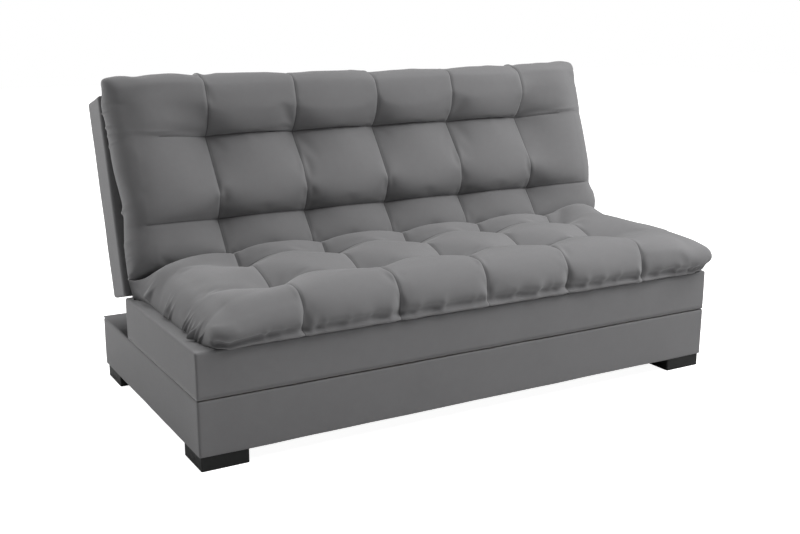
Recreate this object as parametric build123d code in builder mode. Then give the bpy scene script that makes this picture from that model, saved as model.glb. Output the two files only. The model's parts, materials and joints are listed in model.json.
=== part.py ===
"""Armless sofa bed: a storage base on four block feet, a lid that carries the seat, and a reclining back.

Units are millimetres. X runs along the width, +Y points to the rear and +Z up. The origin lies on the
floor, in the middle of the width and half way between the seat pad's front and the back's rear edge.
"""

import os
from math import cos, radians, sin

from build123d import *

# Overall sizes
WIDTH = 1800.0
BASE_DEPTH = 915.0
BASE_HEIGHT = 158.0
SEAT_BOX_DEPTH = 636.0
SEAT_BOX_HEIGHT = 128.0
BACK_TOP = 622.0
BACK_TILT = 15.4
FOOT_HEIGHT = 42.0
FOOT_SIZE = 137.0
FOOT_INSET = 6.0

# Sheet and timber stock
COVER = 4.0
BOARD = 18.0
RAIL = 28.0
SEAT_SIDE_RAIL = 30.0
BOTTOM_PANEL = 6.0
DECK = 15.0
REAR_PANEL = 3.0
LEDGE_COVER = 2.0
CORNER_BLOCK = 75.0
CORNER_ROUND = 10.0
COVER_FLANGE = 15.0
FOOT_WALL = 4.0
FOOT_EDGE = 2.0

# Webbing
STRAP_WIDTH = 60.0
STRAP = 2.0
CROSS_STRAPS = 9
LONG_STRAPS = 3
BACK_STRAPS = 5
STRAP_SAG = 25.0

# Clearances
SEAM_GAP = 3.0
DECK_CLEAR = 3.0
LID_GAP = 0.5
FLAT_GAP = 1.0
PAD_GAP = 0.4
RUNNING_GAP = 0.05
BOLT_GAP = 0.1

# Reclining hinge
HINGE_BEHIND = 5.0
HINGE_RISE = 6.0
BACK_HEEL = 2.5
ARM_PLATE = 4.5
ARM_GAP = 0.5
ARM_HEAD = 20.0
ARM_NECK = 28.0
ARM_BAR = 36.0
ARM_LENGTH = 250.0
SEAT_ARM_DROP = 40.0
BACK_ARM_SET = 28.0
ARM_ELBOW = 45.0
SHAFT_RADIUS = 6.0
SHAFT_HEAD = 10.0
SHAFT_HEAD_THICK = 2.5
HOUSING_RADIUS = 17.0
HOUSING_SIDES = 8
HOUSING_DEPTH = 10.0
HOUSING_EDGE = 2.0
HINGE_RELIEF = 26.0
HINGE_NOTCH = 60.0
ARM_BOLTS = 2
BOLT_RADIUS = 4.0
BOLT_HEAD = 8.0
BOLT_HEAD_THICK = 5.0
BOLT_LENGTH = 26.0

# Lid hinges along the rear edge of the base
LID_HINGES = 2
LID_HINGE_PITCH = 1200.0
LEAF = 2.0
LEAF_GAP = 0.2
LEAF_WIDTH = 60.0
LEAF_DEPTH = 16.0
KNUCKLE_RADIUS = 4.0
KNUCKLE_OFFSET = 4.5
KNUCKLE_PLAY = 0.3
HINGE_PIN_RADIUS = 2.0

# Tufted pads
COLUMNS = 6
ROW_LIFT = 6.0
PAD_SHIFT = 9.0
SEAT_PAD_FRONT = 45.0
FRONT_ROLL = 95.0
FRONT_PINCH = 39.0
FRONT_HEM = 8.0
FRONT_HEM_OUT = 20.0
SEAT_PAD_END = 5.0
PAD_INSET = 25.0
SEAT_PAD_CROWN = 144.0
SEAT_PAD_TUFT = 105.0
SEAT_SEAM = 116.0
SEAT_TUFT_ROWS = (205.0, 430.0)
BACK_PAD_END = 2.0
BACK_PAD_RISE = 54.0
BACK_PAD_CROWN = 122.0
BACK_PAD_TUFT = 84.0
BACK_SEAM = 94.0
BACK_TUFT_ROWS = (203.0, 466.0)
HINGE_CHANNEL = 34.0
CREASE_LOW = 95.0
CREASE_HIGH = 140.0

# Levels, measured up from the floor
HALF = WIDTH / 2
BASE_TOP = FOOT_HEIGHT + BASE_HEIGHT
PANEL_TOP = FOOT_HEIGHT + BOTTOM_PANEL
DECK_TOP = BASE_TOP + SEAM_GAP
DECK_BOTTOM = DECK_TOP - DECK
BACK_BOARD_TOP = DECK_BOTTOM - 2 * LEAF - LEAF_GAP
LEDGE_TOP = DECK_TOP + LEDGE_COVER
SEAT_TOP = DECK_TOP + SEAT_BOX_HEIGHT
RAIL_TOP = SEAT_TOP - 2 * STRAP

# The flat back lies on the ledge behind the seat, so the ledge sets the back's thickness
PIVOT_Z = SEAT_TOP + HINGE_RISE
BACK_THICKNESS = PIVOT_Z - LEDGE_TOP - FLAT_GAP
BACK_SIN = sin(radians(BACK_TILT))
BACK_COS = cos(radians(BACK_TILT))

# Places along Y, with the origin half way between the foremost and the rearmost point
BACK_REACH = SEAT_BOX_DEPTH + HINGE_BEHIND + BACK_TOP * BACK_SIN + BACK_THICKNESS * BACK_COS
FRONT = (SEAT_PAD_FRONT - BACK_REACH) / 2
REAR = FRONT + BASE_DEPTH
SEAT_REAR = FRONT + SEAT_BOX_DEPTH
PIVOT_Y = SEAT_REAR + HINGE_BEHIND

# Places along X
BOARD_OUTER = HALF - COVER
BOARD_INNER = BOARD_OUTER - BOARD
DECK_EDGE = BOARD_INNER - DECK_CLEAR
SEAT_RAIL_INNER = BOARD_OUTER - SEAT_SIDE_RAIL
STILE_INNER = SEAT_RAIL_INNER + ARM_GAP + ARM_PLATE
SEAT_ARM_INNER = SEAT_RAIL_INNER - ARM_PLATE
HOUSING_INNER = SEAT_ARM_INNER - HOUSING_DEPTH
HINGE_POCKET = HOUSING_INNER - SHAFT_HEAD_THICK - 2 * ARM_GAP
COLUMN = WIDTH / COLUMNS

# The back's own axes: X along the width, Y up its slope and Z forward out of its front face
SLOPE = (0, BACK_SIN, BACK_COS)
BACK = Plane(origin=(0, PIVOT_Y, PIVOT_Z), x_dir=(1, 0, 0), z_dir=(0, -BACK_COS, BACK_SIN))
BACK_SIDE = Plane(origin=(0, PIVOT_Y, PIVOT_Z), x_dir=SLOPE, z_dir=(1, 0, 0))
BACK_END = Plane(origin=(0, PIVOT_Y, PIVOT_Z), x_dir=(1, 0, 0), z_dir=(0, -BACK_SIN, -BACK_COS))
BACK_LOW = COVER - BACK_HEEL
BACK_HIGH = BACK_TOP - COVER
BACK_FACE = -2 * STRAP
STILE_REAR = COVER + REAR_PANEL - BACK_THICKNESS

# Both pads meet on the plane that halves the corner between the seat and the back
CORNER_HALF = radians(90 + BACK_TILT) / 2
CREASE_ALONG = cos(CORNER_HALF)
CREASE_UP = sin(CORNER_HALF)

os.makedirs("parts", exist_ok=True)


def save(piece, label):
    """Labels a finished piece and writes it."""
    piece.part.label = label
    export_step(piece.part, f"parts/{label}.step")


def fill(low, high, mode=Mode.ADD):
    """A box between two opposite corners, in the axes of the part being built."""
    size = [b - a for a, b in zip(low, high)]
    middle = Vector(*[(a + b) / 2 for a, b in zip(low, high)])
    with Locations(middle):
        Box(*size, mode=mode)


def round_corners(piece, radius):
    """Rounds the upright corners of a box that has just been extruded."""
    fillet(piece.edges().filter_by(Axis.Z), radius)


def mirrored(side):
    """Word for the end of the sofa that lies on that side of X."""
    return "left" if side < 0 else "right"


def spread(count, reach):
    """Evenly spaced places from -reach to reach."""
    return [reach * (2 * i / (count - 1) - 1) for i in range(count)]


# Feet: hollow moulded blocks with a cross of ribs and a screw boss
FOOT_X = HALF - FOOT_INSET - FOOT_SIZE / 2
FOOT_Y = {
    "front": FRONT + FOOT_INSET + FOOT_SIZE / 2,
    "rear": REAR - FOOT_INSET - FOOT_SIZE / 2,
}
FOOT_INSIDE = FOOT_SIZE - 2 * FOOT_WALL
FOOT_BOSS = 2 * BOLT_HEAD + 2 * FOOT_WALL

for end, foot_y in FOOT_Y.items():
    for side in (-1, 1):
        with BuildPart() as foot:
            with BuildSketch():
                with Locations((side * FOOT_X, foot_y)):
                    Rectangle(FOOT_SIZE, FOOT_SIZE)
            extrude(amount=FOOT_HEIGHT)
            chamfer(foot.edges().filter_by(Axis.Z), FOOT_EDGE)
            with BuildSketch(Plane.XY.offset(FOOT_WALL)):
                with Locations((side * FOOT_X, foot_y)):
                    Rectangle(FOOT_INSIDE, FOOT_INSIDE)
            extrude(amount=FOOT_HEIGHT, mode=Mode.SUBTRACT)
            with BuildSketch():
                with Locations((side * FOOT_X, foot_y)):
                    Rectangle(FOOT_INSIDE, FOOT_WALL)
                    Rectangle(FOOT_WALL, FOOT_INSIDE)
                    Rectangle(FOOT_BOSS, FOOT_BOSS)
            extrude(amount=FOOT_HEIGHT)
            with Locations(Plane((side * FOOT_X, foot_y, 0), z_dir=(0, 0, -1))):
                CounterBoreHole(BOLT_RADIUS + BOLT_GAP, BOLT_HEAD + BOLT_GAP, BOLT_HEAD_THICK + FOOT_WALL)
        save(foot, f"{end}_{mirrored(side)}_foot")

FOOT_PLACES = [(side * FOOT_X, y) for y in FOOT_Y.values() for side in (-1, 1)]
FOOT_BOLT_SEAT = BOLT_HEAD_THICK + FOOT_WALL
FOOT_BOLT_TOP = PANEL_TOP + BOLT_LENGTH

with BuildPart() as foot_bolts:
    with BuildSketch(Plane.XY.offset(FOOT_WALL)):
        with Locations(*FOOT_PLACES):
            RegularPolygon(BOLT_HEAD, 6)
    extrude(amount=BOLT_HEAD_THICK)
    with BuildSketch(Plane.XY.offset(FOOT_BOLT_SEAT)):
        with Locations(*FOOT_PLACES):
            Circle(BOLT_RADIUS)
    extrude(amount=FOOT_BOLT_TOP - FOOT_BOLT_SEAT)
save(foot_bolts, "foot_bolts")

# Base: a box of boards on a bottom panel, open at the top as a storage trunk
with BuildPart() as base_bottom_panel:
    fill((-BOARD_OUTER, FRONT + COVER, FOOT_HEIGHT), (BOARD_OUTER, REAR - COVER, PANEL_TOP))
    with Locations(*[(x, y, PANEL_TOP) for x, y in FOOT_PLACES]):
        Hole(BOLT_RADIUS + BOLT_GAP)
save(base_bottom_panel, "base_bottom_panel")

BOARD_TOP = BASE_TOP - COVER
FRONT_INSIDE = FRONT + COVER + BOARD
REAR_INSIDE = REAR - COVER - BOARD
TRUNK_TOP = DECK_BOTTOM - LID_GAP

with BuildPart() as base_front_board:
    fill((-BOARD_INNER, FRONT + COVER, PANEL_TOP), (BOARD_INNER, FRONT_INSIDE, BOARD_TOP))
save(base_front_board, "base_front_board")

with BuildPart() as base_back_board:
    fill((-BOARD_INNER, REAR_INSIDE, PANEL_TOP), (BOARD_INNER, REAR - COVER, BACK_BOARD_TOP))
save(base_back_board, "base_back_board")

for side in (-1, 1):
    with BuildPart() as base_side_board:
        inner, outer = sorted((side * BOARD_INNER, side * BOARD_OUTER))
        fill((inner, FRONT + COVER, PANEL_TOP), (outer, REAR - COVER, BOARD_TOP))
    save(base_side_board, f"base_{mirrored(side)}_board")

with BuildPart() as base_partition:
    fill((-BOARD / 2, FRONT_INSIDE, PANEL_TOP), (BOARD / 2, REAR_INSIDE, TRUNK_TOP))
save(base_partition, "base_partition")

BLOCK_X = BOARD_INNER - CORNER_BLOCK / 2
BLOCK_Y = (FRONT_INSIDE + CORNER_BLOCK / 2, REAR_INSIDE - CORNER_BLOCK / 2)

with BuildPart() as base_corner_blocks:
    with BuildSketch(Plane.XY.offset(PANEL_TOP)):
        with Locations(*[(side * BLOCK_X, y) for y in BLOCK_Y for side in (-1, 1)]):
            Rectangle(CORNER_BLOCK, CORNER_BLOCK)
        with Locations(*FOOT_PLACES):
            Circle(BOLT_RADIUS + BOLT_GAP, mode=Mode.SUBTRACT)
    extrude(amount=BACK_BOARD_TOP - PANEL_TOP)
save(base_corner_blocks, "base_corner_blocks")

with BuildPart() as base_cover:
    fill((-HALF, FRONT, FOOT_HEIGHT), (HALF, REAR, BASE_TOP))
    round_corners(base_cover, CORNER_ROUND)
    fill((-BOARD_OUTER, FRONT + COVER, FOOT_HEIGHT), (BOARD_OUTER, REAR - COVER, BOARD_TOP), Mode.SUBTRACT)
    fill((-BOARD_INNER, FRONT_INSIDE, BACK_BOARD_TOP), (BOARD_INNER, REAR, BASE_TOP), Mode.SUBTRACT)
save(base_cover, "base_cover")

# Lid hinges: each lower leaf lies on the back board and each upper leaf under the deck
LID_AXIS_Y = REAR + KNUCKLE_OFFSET
LID_AXIS_Z = DECK_BOTTOM - LEAF - LEAF_GAP / 2
LEAF_FRONT = REAR - COVER - LEAF_DEPTH
KNUCKLE = LEAF_WIDTH / 3
LID_HINGE_X = [LID_HINGE_PITCH * (i - (LID_HINGES - 1) / 2) for i in range(LID_HINGES)]


def knuckle_places(offsets):
    """Knuckle centres on the lid's axis, at these offsets from the middle of each hinge."""
    return [(x + offset, LID_AXIS_Y, LID_AXIS_Z) for x in LID_HINGE_X for offset in offsets]


def lid_leaves(offsets, low):
    """Leaves with their bottom face at that height and knuckles at those offsets on the lid's axis."""
    length = KNUCKLE - KNUCKLE_PLAY
    with BuildPart() as leaves:
        for x in LID_HINGE_X:
            half = LEAF_WIDTH / 2
            fill((x - half, LEAF_FRONT, low), (x + half, REAR, low + LEAF))
        for x, y, z in knuckle_places(offsets):
            fill((x - length / 2, REAR, low), (x + length / 2, y, low + LEAF))
        with Locations(*knuckle_places(offsets)):
            Cylinder(KNUCKLE_RADIUS, length, rotation=(0, 90, 0))
        with Locations(*knuckle_places(offsets)):
            bore = HINGE_PIN_RADIUS + RUNNING_GAP
            Cylinder(bore, length, rotation=(0, 90, 0), mode=Mode.SUBTRACT)
    return leaves


save(lid_leaves((-KNUCKLE, KNUCKLE), BACK_BOARD_TOP), "lid_hinge_lower_leaves")
save(lid_leaves((0,), DECK_BOTTOM - LEAF), "lid_hinge_upper_leaves")

with BuildPart() as lid_hinge_pins:
    with Locations(*knuckle_places((0,))):
        Cylinder(HINGE_PIN_RADIUS, LEAF_WIDTH, rotation=(0, 90, 0))
save(lid_hinge_pins, "lid_hinge_pins")

# Lid: the deck closes the trunk, and its rear part is the padded ledge behind the seat
with BuildPart() as deck_panel:
    fill((-DECK_EDGE, FRONT_INSIDE + DECK_CLEAR, DECK_BOTTOM), (DECK_EDGE, REAR - COVER, DECK_TOP))
save(deck_panel, "deck_panel")

with BuildPart() as ledge_cover:
    fill((-DECK_EDGE, SEAT_REAR, DECK_TOP), (DECK_EDGE, REAR, LEDGE_TOP))
    fill((-DECK_EDGE, REAR - COVER, DECK_BOTTOM), (DECK_EDGE, REAR, DECK_TOP))
    fillet(ledge_cover.edges().filter_by(Axis.X).group_by(Axis.Z)[-1].sort_by(Axis.Y)[-1], COVER / 2)
save(ledge_cover, "ledge_cover")

# Seat box: four rails, two cross rails and webbing under a stapled cover
SEAT_FRONT_INSIDE = FRONT + COVER + RAIL
SEAT_REAR_INSIDE = SEAT_REAR - COVER - RAIL
SEAT_ARM_Z = SEAT_TOP - SEAT_ARM_DROP
NOTCH_Z = SEAT_ARM_Z - ARM_BAR / 2 - ARM_GAP
SEAT_BOLT_Y = [SEAT_REAR - ARM_ELBOW - ARM_LENGTH * (i + 0.5) / (ARM_BOLTS + 1) for i in range(ARM_BOLTS)]

with BuildPart() as seat_front_rail:
    fill((-SEAT_RAIL_INNER, FRONT + COVER, DECK_TOP), (SEAT_RAIL_INNER, SEAT_FRONT_INSIDE, RAIL_TOP))
save(seat_front_rail, "seat_front_rail")

with BuildPart() as seat_rear_rail:
    fill((-SEAT_RAIL_INNER, SEAT_REAR_INSIDE, DECK_TOP), (SEAT_RAIL_INNER, SEAT_REAR - COVER, RAIL_TOP))
    for side in (-1, 1):
        inner, outer = sorted((side * HINGE_POCKET, side * SEAT_RAIL_INNER))
        fill((inner, SEAT_REAR_INSIDE, NOTCH_Z), (outer, SEAT_REAR, SEAT_TOP), Mode.SUBTRACT)
save(seat_rear_rail, "seat_rear_rail")

for side in (-1, 1):
    with BuildPart() as seat_side_rail:
        inner, outer = sorted((side * SEAT_RAIL_INNER, side * BOARD_OUTER))
        fill((inner, FRONT + COVER, DECK_TOP), (outer, SEAT_REAR - COVER, RAIL_TOP))
        with Locations((side * HALF, PIVOT_Y, PIVOT_Z)):
            Cylinder(HINGE_RELIEF, WIDTH / 2, rotation=(0, 90, 0), mode=Mode.SUBTRACT)
        with BuildSketch(Plane.YZ.offset(side * SEAT_RAIL_INNER)):
            with Locations(*[(y, SEAT_ARM_Z) for y in SEAT_BOLT_Y]):
                Circle(BOLT_RADIUS + BOLT_GAP)
        extrude(amount=side * BOLT_LENGTH, mode=Mode.SUBTRACT)
    save(seat_side_rail, f"seat_{mirrored(side)}_rail")

with BuildPart() as seat_cross_rails:
    for x in (-COLUMN, COLUMN):
        low = (x - RAIL / 2, SEAT_FRONT_INSIDE, DECK_TOP)
        fill(low, (x + RAIL / 2, SEAT_REAR_INSIDE, RAIL_TOP - STRAP_SAG))
save(seat_cross_rails, "seat_cross_rails")

STRAP_END_X = BOARD_OUTER - COVER_FLANGE - 2 * STRAP
STRAP_FRONT = FRONT + COVER + COVER_FLANGE + 2 * STRAP
STRAP_REAR = SEAT_REAR - COVER - COVER_FLANGE - 2 * STRAP

with BuildPart() as seat_cross_straps:
    for x in spread(CROSS_STRAPS, HINGE_POCKET - STRAP_WIDTH):
        low = (x - STRAP_WIDTH / 2, STRAP_FRONT, RAIL_TOP)
        fill(low, (x + STRAP_WIDTH / 2, STRAP_REAR, RAIL_TOP + STRAP))
save(seat_cross_straps, "seat_cross_straps")

with BuildPart() as seat_long_straps:
    for i in range(LONG_STRAPS):
        y = STRAP_FRONT + (STRAP_REAR - STRAP_FRONT) * (i + 1) / (LONG_STRAPS + 1)
        low = (-STRAP_END_X, y - STRAP_WIDTH / 2, RAIL_TOP + STRAP)
        fill(low, (STRAP_END_X, y + STRAP_WIDTH / 2, SEAT_TOP))
save(seat_long_straps, "seat_long_straps")

FLANGE_X = BOARD_OUTER - COVER_FLANGE
SLOT_INNER = HINGE_POCKET
SLOT_OUTER = STILE_INNER + 2 * ARM_GAP

with BuildPart() as seat_cover:
    fill((-HALF, FRONT, DECK_TOP), (HALF, SEAT_REAR, SEAT_TOP))
    round_corners(seat_cover, CORNER_ROUND)
    fill((-BOARD_OUTER, FRONT + COVER, DECK_TOP), (BOARD_OUTER, SEAT_REAR - COVER, RAIL_TOP), Mode.SUBTRACT)
    opening_front = FRONT + COVER + COVER_FLANGE
    opening_rear = SEAT_REAR - COVER - COVER_FLANGE
    fill((-FLANGE_X, opening_front, RAIL_TOP), (FLANGE_X, opening_rear, SEAT_TOP), Mode.SUBTRACT)
    for side in (-1, 1):
        inner, outer = sorted((side * SLOT_INNER, side * SLOT_OUTER))
        fill((inner, opening_rear, NOTCH_Z), (outer, SEAT_REAR, SEAT_TOP), Mode.SUBTRACT)
save(seat_cover, "seat_cover")


def bar(start, end, width):
    """A flat link with round ends between two points of the sketch being drawn."""
    line = Vector(*end) - Vector(*start)
    middle = (Vector(*start) + Vector(*end)) / 2
    angle = Vector(1, 0).get_signed_angle(line, Vector(0, 0, 1))
    with Locations(Location((middle.X, middle.Y), angle)):
        SlotCenterToCenter(line.length, width)


def arm_outline(bolt_places, elbow, pivot, bore):
    """Outline of a hinge arm: a bar with bolt holes, a neck and a round head about the pivot."""
    bar(bolt_places[-1], elbow, ARM_BAR)
    bar(elbow, pivot, ARM_NECK)
    with Locations(pivot):
        Circle(ARM_HEAD)
        Circle(bore, mode=Mode.SUBTRACT)
    with Locations(*bolt_places):
        Circle(BOLT_RADIUS + BOLT_GAP, mode=Mode.SUBTRACT)


# Seat half of the reclining hinge: an arm inside each side rail and its closed ratchet housing
SEAT_BOLTS = [(y, SEAT_ARM_Z) for y in SEAT_BOLT_Y]
SEAT_ELBOW = (SEAT_REAR - ARM_ELBOW, SEAT_ARM_Z)
PIVOT = (PIVOT_Y, PIVOT_Z)

for side in (-1, 1):
    with BuildPart() as seat_arm:
        with BuildSketch(Plane.YZ.offset(side * SEAT_ARM_INNER)):
            arm_outline(SEAT_BOLTS, SEAT_ELBOW, PIVOT, SHAFT_RADIUS + RUNNING_GAP)
        extrude(amount=side * ARM_PLATE)
    save(seat_arm, f"{mirrored(side)}_seat_arm")

    with BuildPart() as ratchet_housing:
        with BuildSketch(Plane.YZ.offset(side * SEAT_ARM_INNER)):
            with Locations(PIVOT):
                RegularPolygon(HOUSING_RADIUS, HOUSING_SIDES)
        extrude(amount=-side * HOUSING_DEPTH)
        rims = ratchet_housing.edges().group_by(Axis.X)
        chamfer(rims[0] if side > 0 else rims[-1], HOUSING_EDGE)
        with Locations((side * (SEAT_ARM_INNER - HOUSING_DEPTH / 2), *PIVOT)):
            bore = SHAFT_RADIUS + RUNNING_GAP
            Cylinder(bore, 2 * HOUSING_DEPTH, rotation=(0, 90, 0), mode=Mode.SUBTRACT)
    save(ratchet_housing, f"{mirrored(side)}_ratchet_housing")


def arm_bolts(plane, places, plate_inner):
    """Hex bolts on both ends of the sofa, with their heads on the inner face of the hinge arms."""
    with BuildPart() as bolts:
        for side in (-1, 1):
            with BuildSketch(plane.offset(side * plate_inner)):
                with Locations(*places):
                    RegularPolygon(BOLT_HEAD, 6)
            extrude(amount=-side * BOLT_HEAD_THICK)
            with BuildSketch(plane.offset(side * plate_inner)):
                with Locations(*places):
                    Circle(BOLT_RADIUS)
            extrude(amount=side * BOLT_LENGTH)
    return bolts


save(arm_bolts(Plane.YZ, SEAT_BOLTS, SEAT_ARM_INNER), "seat_arm_bolts")


def column_top(edge, seam, crown):
    """Domed tops of the pad's columns, from one rounded side to the other, with a seam between columns."""
    seams = [COLUMN * i - HALF for i in range(1, COLUMNS)]
    stops = [-edge, *seams, edge]
    for left, right in zip(stops, stops[1:]):
        ThreePointArc((left, seam), ((left + right) / 2, crown), (right, seam))


def column_profile(plane, inset, seam, crown):
    """Section across a pad's columns: drawn-in sides that swell a little, inside the frame's ends, then domes."""
    foot = HALF - PAD_INSET
    swell = HALF - inset
    shoulder = (foot + swell) / 2
    with BuildSketch(plane) as profile:
        with BuildLine():
            column_top(shoulder, seam, crown)
            ThreePointArc((shoulder, seam), (swell, seam / 2), (foot, 0))
            ThreePointArc((-shoulder, seam), (-swell, seam / 2), (-foot, 0))
            Line((foot, 0), (-foot, 0))
        make_face()
    return profile.sketch


def crease(direction, reach):
    """Point of a pad's mitred end at that distance from the pivot, clear of the other pad."""
    along = reach * CREASE_ALONG + PAD_GAP * CREASE_UP
    return direction * along, reach * CREASE_UP - PAD_GAP * CREASE_ALONG


# Seat pad: rows of tufts from the crease under the back to the rolled front edge. Both pads lie a little
# to the right of the frame's middle
SEAT_ROW_CROWN = SEAT_PAD_CROWN + ROW_LIFT


def seat_crease(reach):
    """Point of the seat pad's mitred end, in Y and in height above the seat box."""
    along, up = crease(-1, reach)
    return PIVOT_Y + along, up + HINGE_RISE


seat_columns = column_profile(Plane.XZ, SEAT_PAD_END, SEAT_SEAM, SEAT_PAD_CROWN)

with BuildPart() as seat_pad:
    with BuildSketch(Plane.YZ.offset(-HALF)):
        with BuildLine():
            front_tuft, rear_tuft = [(FRONT + y, SEAT_PAD_TUFT) for y in SEAT_TUFT_ROWS]
            low, high = seat_crease(CREASE_LOW), seat_crease(CREASE_HIGH)
            roll = (FRONT - SEAT_PAD_FRONT / 2, FRONT_ROLL)
            pinch = (FRONT - (SEAT_PAD_FRONT + FRONT_HEM_OUT) / 2, FRONT_PINCH)
            hem = (FRONT - FRONT_HEM_OUT, FRONT_HEM)
            toe = (FRONT + COVER, 0)
            heel = (PIVOT_Y - HINGE_CHANNEL, 0)
            Polyline(heel, low, high)
            ThreePointArc(high, ((high[0] + rear_tuft[0]) / 2, SEAT_ROW_CROWN), rear_tuft)
            ThreePointArc(rear_tuft, ((rear_tuft[0] + front_tuft[0]) / 2, SEAT_ROW_CROWN), front_tuft)
            ThreePointArc(front_tuft, ((front_tuft[0] + roll[0]) / 2, SEAT_PAD_CROWN - ROW_LIFT), roll)
            ThreePointArc(roll, (FRONT - SEAT_PAD_FRONT, (FRONT_ROLL + FRONT_PINCH) / 2), pinch)
            Polyline(pinch, hem, toe, heel)
        make_face()
    extrude(amount=WIDTH)
    extrude(seat_columns, amount=BASE_DEPTH, both=True, mode=Mode.INTERSECT)
seat_pad.part.locate(Location((PAD_SHIFT, 0, SEAT_TOP)))
save(seat_pad, "seat_pad")

# Back frame: stiles and rails on a thin rear panel, with webbing across the front
with BuildPart(BACK) as back_top_rail:
    fill((-STILE_INNER, BACK_HIGH - RAIL, STILE_REAR), (STILE_INNER, BACK_HIGH, BACK_FACE))
save(back_top_rail, "back_top_rail")

with BuildPart(BACK) as back_bottom_rail:
    fill((-STILE_INNER, BACK_LOW, STILE_REAR), (STILE_INNER, BACK_LOW + RAIL, BACK_FACE - HINGE_NOTCH))
save(back_bottom_rail, "back_bottom_rail")

BACK_ELBOW = (ARM_ELBOW, -BACK_ARM_SET)
BACK_BOLTS = [(ARM_ELBOW + ARM_LENGTH * (i + 0.5) / (ARM_BOLTS + 1), -BACK_ARM_SET) for i in range(ARM_BOLTS)]

for side in (-1, 1):
    with BuildPart(BACK) as back_stile:
        inner, outer = sorted((side * STILE_INNER, side * BOARD_OUTER))
        fill((inner, BACK_LOW, STILE_REAR), (outer, BACK_HIGH, BACK_FACE))
        with BuildSketch(BACK_SIDE.offset(side * STILE_INNER)):
            with Locations(*BACK_BOLTS):
                Circle(BOLT_RADIUS + BOLT_GAP)
        extrude(amount=side * BOLT_LENGTH, mode=Mode.SUBTRACT)
    save(back_stile, f"back_{mirrored(side)}_stile")

with BuildPart(BACK) as back_mid_stiles:
    for x in (-COLUMN, COLUMN):
        low = (x - RAIL / 2, BACK_LOW + RAIL, STILE_REAR)
        fill(low, (x + RAIL / 2, BACK_HIGH - RAIL, BACK_FACE))
save(back_mid_stiles, "back_mid_stiles")

with BuildPart(BACK) as back_rear_panel:
    fill((-BOARD_OUTER, BACK_LOW, STILE_REAR - REAR_PANEL), (BOARD_OUTER, BACK_HIGH, STILE_REAR))
save(back_rear_panel, "back_rear_panel")

with BuildPart(BACK) as back_straps:
    for i in range(BACK_STRAPS):
        s = BACK_LOW + (BACK_HIGH - BACK_LOW) * (i + 1) / (BACK_STRAPS + 1)
        low = (-STRAP_END_X, s - STRAP_WIDTH / 2, BACK_FACE)
        fill(low, (STRAP_END_X, s + STRAP_WIDTH / 2, BACK_FACE + STRAP))
save(back_straps, "back_straps")

with BuildPart(BACK) as back_cover:
    fill((-HALF, -BACK_HEEL, -BACK_THICKNESS), (HALF, BACK_TOP, 0))
    fillet(back_cover.edges().filter_by(Axis(BACK.origin, BACK.z_dir)), CORNER_ROUND)
    fill((-BOARD_OUTER, BACK_LOW, COVER - BACK_THICKNESS), (BOARD_OUTER, BACK_HIGH, BACK_FACE), Mode.SUBTRACT)
    opening_low = (-FLANGE_X, BACK_LOW + COVER_FLANGE, BACK_FACE)
    fill(opening_low, (FLANGE_X, BACK_HIGH - COVER_FLANGE, 0), Mode.SUBTRACT)
    for side in (-1, 1):
        inner, outer = sorted((side * SLOT_INNER, side * SLOT_OUTER))
        fill((inner, -BACK_HEEL, -HINGE_NOTCH), (outer, BACK_LOW + COVER_FLANGE, 0), Mode.SUBTRACT)
save(back_cover, "back_cover")

# Back half of the reclining hinge: an arm inside each stile and the pivot shaft that is fixed in it
for side in (-1, 1):
    with BuildPart() as back_arm:
        with BuildSketch(BACK_SIDE.offset(side * (STILE_INNER - ARM_PLATE))):
            arm_outline(BACK_BOLTS, BACK_ELBOW, (0, 0), SHAFT_RADIUS + RUNNING_GAP)
        extrude(amount=side * ARM_PLATE)
    save(back_arm, f"{mirrored(side)}_back_arm")

    with BuildPart() as pivot_shaft:
        with BuildSketch(Plane.YZ.offset(side * STILE_INNER)):
            with Locations(PIVOT):
                Circle(SHAFT_RADIUS)
        extrude(amount=-side * (STILE_INNER - HOUSING_INNER + ARM_GAP))
        with BuildSketch(Plane.YZ.offset(side * (HOUSING_INNER - ARM_GAP))):
            with Locations(PIVOT):
                Circle(SHAFT_HEAD)
        extrude(amount=-side * SHAFT_HEAD_THICK)
    save(pivot_shaft, f"{mirrored(side)}_pivot_shaft")

save(arm_bolts(BACK_SIDE, BACK_BOLTS, STILE_INNER - ARM_PLATE), "back_arm_bolts")

# Back pad: rows of tufts from the crease to the roll over the top of the frame
BACK_ROW_CROWN = BACK_PAD_CROWN + ROW_LIFT
TOP_ROLL = (BACK_TOP + BACK_PAD_RISE / 4, BACK_PAD_TUFT)

back_columns = column_profile(BACK_END, BACK_PAD_END, BACK_SEAM, BACK_PAD_CROWN)

with BuildPart() as back_pad:
    with BuildSketch(BACK_SIDE.offset(-HALF)):
        with BuildLine():
            low_tuft, high_tuft = [(s, BACK_PAD_TUFT) for s in BACK_TUFT_ROWS]
            low, high = crease(1, CREASE_LOW), crease(1, CREASE_HIGH)
            Polyline((HINGE_CHANNEL, 0), low, high)
            ThreePointArc(high, ((high[0] + low_tuft[0]) / 2, BACK_ROW_CROWN), low_tuft)
            ThreePointArc(low_tuft, ((low_tuft[0] + high_tuft[0]) / 2, BACK_ROW_CROWN), high_tuft)
            ThreePointArc(high_tuft, ((high_tuft[0] + TOP_ROLL[0]) / 2, BACK_PAD_CROWN - ROW_LIFT), TOP_ROLL)
            tip = (BACK_TOP + BACK_PAD_RISE, BACK_PAD_TUFT / 2)
            tail = (BACK_TOP - COVER, 0)
            ThreePointArc(TOP_ROLL, tip, tail)
            Line(tail, (HINGE_CHANNEL, 0))
        make_face()
    extrude(amount=WIDTH)
    extrude(back_columns, amount=2 * BACK_TOP, both=True, mode=Mode.INTERSECT)
back_pad.part.locate(Location((PAD_SHIFT, 0, 0)))
save(back_pad, "back_pad")
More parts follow.
